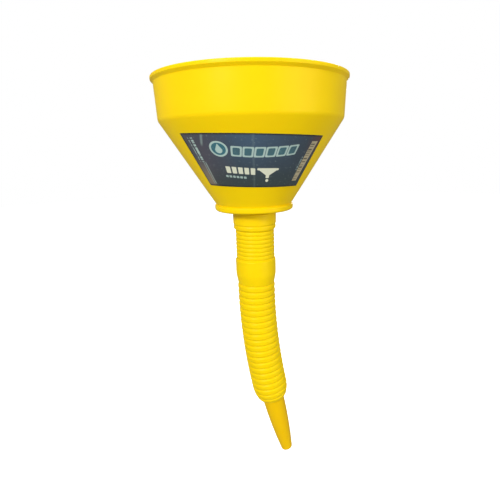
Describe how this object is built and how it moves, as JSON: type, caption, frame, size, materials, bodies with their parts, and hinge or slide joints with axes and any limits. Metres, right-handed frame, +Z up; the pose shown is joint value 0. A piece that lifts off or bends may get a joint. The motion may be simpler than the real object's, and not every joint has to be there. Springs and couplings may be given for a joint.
{
  "type": "flexible spout funnel",
  "caption": "Round flanged funnel bowl with a lift-out strainer and a turning, bendable corrugated spout that ends in a tapered nozzle.",
  "frame": {"origin": "centre of the shoulder band at the foot of the bowl's cone, on the bowl's axis", "axes": "+Z up along the bowl's axis towards the rim, -Y towards the label, +X the way the spout leans at rest"},
  "size_m": [0.16, 0.16, 0.3618],
  "materials": {
    "bowl_plastic": "moulded polyethylene, semi-gloss, yellow",
    "spout_plastic": "soft moulded polyethylene, semi-gloss, yellow",
    "nozzle_plastic": "soft moulded polyethylene, semi-gloss, deeper yellow",
    "label_film": "printed film, satin, dark slate blue",
    "strainer_plastic": "moulded plastic, satin, yellow",
    "gauze_wire": "woven brass wire"
  },
  "bodies": {
    "bowl_body": {"bowl": "bowl_plastic", "label": "label_film"},
    "strainer": {"strainer_frame": "strainer_plastic", "strainer_gauze": "gauze_wire"},
    "collar": {"spout_collar": "spout_plastic"},
    "upper_01": {"upper_bellow_01": "spout_plastic"},
    "upper_02": {"upper_bellow_02": "spout_plastic"},
    "upper_03": {"upper_bellow_03": "spout_plastic"},
    "upper_04": {"upper_bellow_04": "spout_plastic"},
    "upper_05": {"upper_bellow_05": "spout_plastic"},
    "upper_06": {"upper_bellow_06": "spout_plastic"},
    "upper_07": {"upper_bellow_07": "spout_plastic"},
    "grip": {"cuff": "spout_plastic"},
    "lower_01": {"lower_bellow_01": "spout_plastic"},
    "lower_02": {"lower_bellow_02": "spout_plastic"},
    "lower_03": {"lower_bellow_03": "spout_plastic"},
    "lower_04": {"lower_bellow_04": "spout_plastic"},
    "lower_05": {"lower_bellow_05": "spout_plastic"},
    "lower_06": {"lower_bellow_06": "spout_plastic"},
    "lower_07": {"lower_bellow_07": "spout_plastic"},
    "lower_08": {"lower_bellow_08": "spout_plastic"},
    "lower_09": {"lower_bellow_09": "spout_plastic"},
    "lower_10": {"lower_bellow_10": "spout_plastic"},
    "lower_11": {"lower_bellow_11": "spout_plastic"},
    "lower_12": {"lower_bellow_12": "spout_plastic"},
    "lower_13": {"lower_bellow_13": "spout_plastic"},
    "lower_14": {"lower_bellow_14": "spout_plastic"},
    "lower_15": {"lower_bellow_15": "spout_plastic"},
    "lower_16": {"lower_bellow_16": "spout_plastic"},
    "lower_17": {"lower_bellow_17": "spout_plastic"},
    "lower_18": {"lower_bellow_18": "spout_plastic"},
    "lower_19": {"lower_bellow_19": "spout_plastic"},
    "lower_20": {"lower_bellow_20": "spout_plastic"},
    "lower_21": {"lower_bellow_21": "spout_plastic", "nozzle": "nozzle_plastic"}
  },
  "joints": [
    {"name": "strainer_lift", "type": "slide", "parent": "bowl_body", "child": "strainer", "axis": [0, 0, 1], "range_m": [0, 0.12]},
    {"name": "spout_turn", "type": "hinge", "parent": "bowl_body", "child": "collar", "pos_m": [0, 0, -0.012], "axis": [0, 0, 1], "continuous": true},
    {"name": "upper_bend_side", "type": "hinge", "parent": "collar", "child": "upper_01", "pos_m": [0, 0, -0.0213], "axis": [0.001, -1, 0.0007], "range_deg": [-3, 3]},
    {"name": "upper_bend_fore", "type": "hinge", "parent": "upper_01", "child": "upper_02", "pos_m": [0, 0, -0.02496], "axis": [1, 0.001, 0.0007], "range_deg": [-3, 3]},
    {"name": "upper_bend_side_2", "type": "hinge", "parent": "upper_02", "child": "upper_03", "pos_m": [0, 0, -0.02862], "axis": [0.001, -1, 0.0007], "range_deg": [-3, 3]},
    {"name": "upper_bend_fore_2", "type": "hinge", "parent": "upper_03", "child": "upper_04", "pos_m": [0, 0, -0.03228], "axis": [1, 0.001, 0.0007], "range_deg": [-3, 3]},
    {"name": "upper_bend_side_3", "type": "hinge", "parent": "upper_04", "child": "upper_05", "pos_m": [0, 0, -0.03594], "axis": [0.001, -1, 0.0007], "range_deg": [-3, 3]},
    {"name": "upper_bend_fore_3", "type": "hinge", "parent": "upper_05", "child": "upper_06", "pos_m": [0, 0, -0.0396], "axis": [1, 0.001, 0.0007], "range_deg": [-3, 3]},
    {"name": "upper_bend_side_4", "type": "hinge", "parent": "upper_06", "child": "upper_07", "pos_m": [0, 0, -0.04326], "axis": [0.001, -1, 0.0007], "range_deg": [-3, 3]},
    {"name": "upper_bend_fore_4", "type": "hinge", "parent": "upper_07", "child": "grip", "pos_m": [0, 0, -0.04692], "axis": [1, 0.001, 0.0007], "range_deg": [-3, 3]},
    {"name": "lower_bend_side", "type": "hinge", "parent": "grip", "child": "lower_01", "pos_m": [0, 0, -0.0712], "axis": [0.001, -1, 0.0007], "range_deg": [-5.5, 5.5]},
    {"name": "lower_bend_fore", "type": "hinge", "parent": "lower_01", "child": "lower_02", "pos_m": [0.00003, 0, -0.0771], "axis": [0.9999, 0, 0.0103], "range_deg": [-5.5, 5.5]},
    {"name": "lower_bend_side_02", "type": "hinge", "parent": "lower_02", "child": "lower_03", "pos_m": [0.00012, 0, -0.083], "axis": [0.001, -1, 0.0007], "range_deg": [-5.5, 5.5]},
    {"name": "lower_bend_fore_02", "type": "hinge", "parent": "lower_03", "child": "lower_04", "pos_m": [0.00027, 0, -0.0889], "axis": [0.9995, 0, 0.0309], "range_deg": [-5.5, 5.5]},
    {"name": "lower_bend_side_03", "type": "hinge", "parent": "lower_04", "child": "lower_05", "pos_m": [0.00049, 0, -0.09479], "axis": [0.001, -1, 0.0007], "range_deg": [-5.5, 5.5]},
    {"name": "lower_bend_fore_03", "type": "hinge", "parent": "lower_05", "child": "lower_06", "pos_m": [0.00076, 0, -0.10069], "axis": [0.9987, 0, 0.0515], "range_deg": [-5.5, 5.5]},
    {"name": "lower_bend_side_04", "type": "hinge", "parent": "lower_06", "child": "lower_07", "pos_m": [0.00109, 0, -0.10658], "axis": [0.001, -1, 0.0007], "range_deg": [-5.5, 5.5]},
    {"name": "lower_bend_fore_04", "type": "hinge", "parent": "lower_07", "child": "lower_08", "pos_m": [0.00149, 0, -0.11246], "axis": [0.9974, 0, 0.0721], "range_deg": [-5.5, 5.5]},
    {"name": "lower_bend_side_05", "type": "hinge", "parent": "lower_08", "child": "lower_09", "pos_m": [0.00194, 0, -0.11835], "axis": [0.001, -1, 0.0007], "range_deg": [-5.5, 5.5]},
    {"name": "lower_bend_fore_05", "type": "hinge", "parent": "lower_09", "child": "lower_10", "pos_m": [0.00246, 0, -0.12422], "axis": [0.9957, 0, 0.0926], "range_deg": [-5.5, 5.5]},
    {"name": "lower_bend_side_06", "type": "hinge", "parent": "lower_10", "child": "lower_11", "pos_m": [0.00304, 0, -0.1301], "axis": [0.001, -1, 0.0007], "range_deg": [-5.5, 5.5]},
    {"name": "lower_bend_fore_06", "type": "hinge", "parent": "lower_11", "child": "lower_12", "pos_m": [0.00367, 0, -0.13596], "axis": [0.9936, 0, 0.1131], "range_deg": [-5.5, 5.5]},
    {"name": "lower_bend_side_07", "type": "hinge", "parent": "lower_12", "child": "lower_13", "pos_m": [0.00437, 0, -0.14182], "axis": [0.001, -1, 0.0007], "range_deg": [-5.5, 5.5]},
    {"name": "lower_bend_fore_07", "type": "hinge", "parent": "lower_13", "child": "lower_14", "pos_m": [0.00513, 0, -0.14767], "axis": [0.991, 0, 0.1336], "range_deg": [-5.5, 5.5]},
    {"name": "lower_bend_side_08", "type": "hinge", "parent": "lower_14", "child": "lower_15", "pos_m": [0.00595, 0, -0.15351], "axis": [0.001, -1, 0.0007], "range_deg": [-5.5, 5.5]},
    {"name": "lower_bend_fore_08", "type": "hinge", "parent": "lower_15", "child": "lower_16", "pos_m": [0.00683, 0, -0.15935], "axis": [0.9881, 0, 0.154], "range_deg": [-5.5, 5.5]},
    {"name": "lower_bend_side_09", "type": "hinge", "parent": "lower_16", "child": "lower_17", "pos_m": [0.00777, 0, -0.16517], "axis": [0.001, -1, 0.0007], "range_deg": [-5.5, 5.5]},
    {"name": "lower_bend_fore_09", "type": "hinge", "parent": "lower_17", "child": "lower_18", "pos_m": [0.00876, 0, -0.17099], "axis": [0.9847, 0, 0.1743], "range_deg": [-5.5, 5.5]},
    {"name": "lower_bend_side_10", "type": "hinge", "parent": "lower_18", "child": "lower_19", "pos_m": [0.00982, 0, -0.17679], "axis": [0.001, -1, 0.0007], "range_deg": [-5.5, 5.5]},
    {"name": "lower_bend_fore_10", "type": "hinge", "parent": "lower_19", "child": "lower_20", "pos_m": [0.01094, 0, -0.18258], "axis": [0.9809, 0, 0.1946], "range_deg": [-5.5, 5.5]},
    {"name": "lower_bend_side_11", "type": "hinge", "parent": "lower_20", "child": "lower_21", "pos_m": [0.01212, 0, -0.18837], "axis": [0.001, -1, 0.0007], "range_deg": [-5.5, 5.5]}
  ],
  "couplings": [
    {"joint": "upper_bend_side_2", "follows": "upper_bend_side", "ratio": 1},
    {"joint": "upper_bend_fore_2", "follows": "upper_bend_fore", "ratio": 1},
    {"joint": "upper_bend_side_3", "follows": "upper_bend_side", "ratio": 1},
    {"joint": "upper_bend_fore_3", "follows": "upper_bend_fore", "ratio": 1},
    {"joint": "upper_bend_side_4", "follows": "upper_bend_side", "ratio": 1},
    {"joint": "upper_bend_fore_4", "follows": "upper_bend_fore", "ratio": 1},
    {"joint": "lower_bend_side_02", "follows": "lower_bend_side", "ratio": 1},
    {"joint": "lower_bend_fore_02", "follows": "lower_bend_fore", "ratio": 1},
    {"joint": "lower_bend_side_03", "follows": "lower_bend_side", "ratio": 1},
    {"joint": "lower_bend_fore_03", "follows": "lower_bend_fore", "ratio": 1},
    {"joint": "lower_bend_side_04", "follows": "lower_bend_side", "ratio": 1},
    {"joint": "lower_bend_fore_04", "follows": "lower_bend_fore", "ratio": 1},
    {"joint": "lower_bend_side_05", "follows": "lower_bend_side", "ratio": 1},
    {"joint": "lower_bend_fore_05", "follows": "lower_bend_fore", "ratio": 1},
    {"joint": "lower_bend_side_06", "follows": "lower_bend_side", "ratio": 1},
    {"joint": "lower_bend_fore_06", "follows": "lower_bend_fore", "ratio": 1},
    {"joint": "lower_bend_side_07", "follows": "lower_bend_side", "ratio": 1},
    {"joint": "lower_bend_fore_07", "follows": "lower_bend_fore", "ratio": 1},
    {"joint": "lower_bend_side_08", "follows": "lower_bend_side", "ratio": 1},
    {"joint": "lower_bend_fore_08", "follows": "lower_bend_fore", "ratio": 1},
    {"joint": "lower_bend_side_09", "follows": "lower_bend_side", "ratio": 1},
    {"joint": "lower_bend_fore_09", "follows": "lower_bend_fore", "ratio": 1},
    {"joint": "lower_bend_side_10", "follows": "lower_bend_side", "ratio": 1},
    {"joint": "lower_bend_fore_10", "follows": "lower_bend_fore", "ratio": 1},
    {"joint": "lower_bend_side_11", "follows": "lower_bend_side", "ratio": 1}
  ]
}
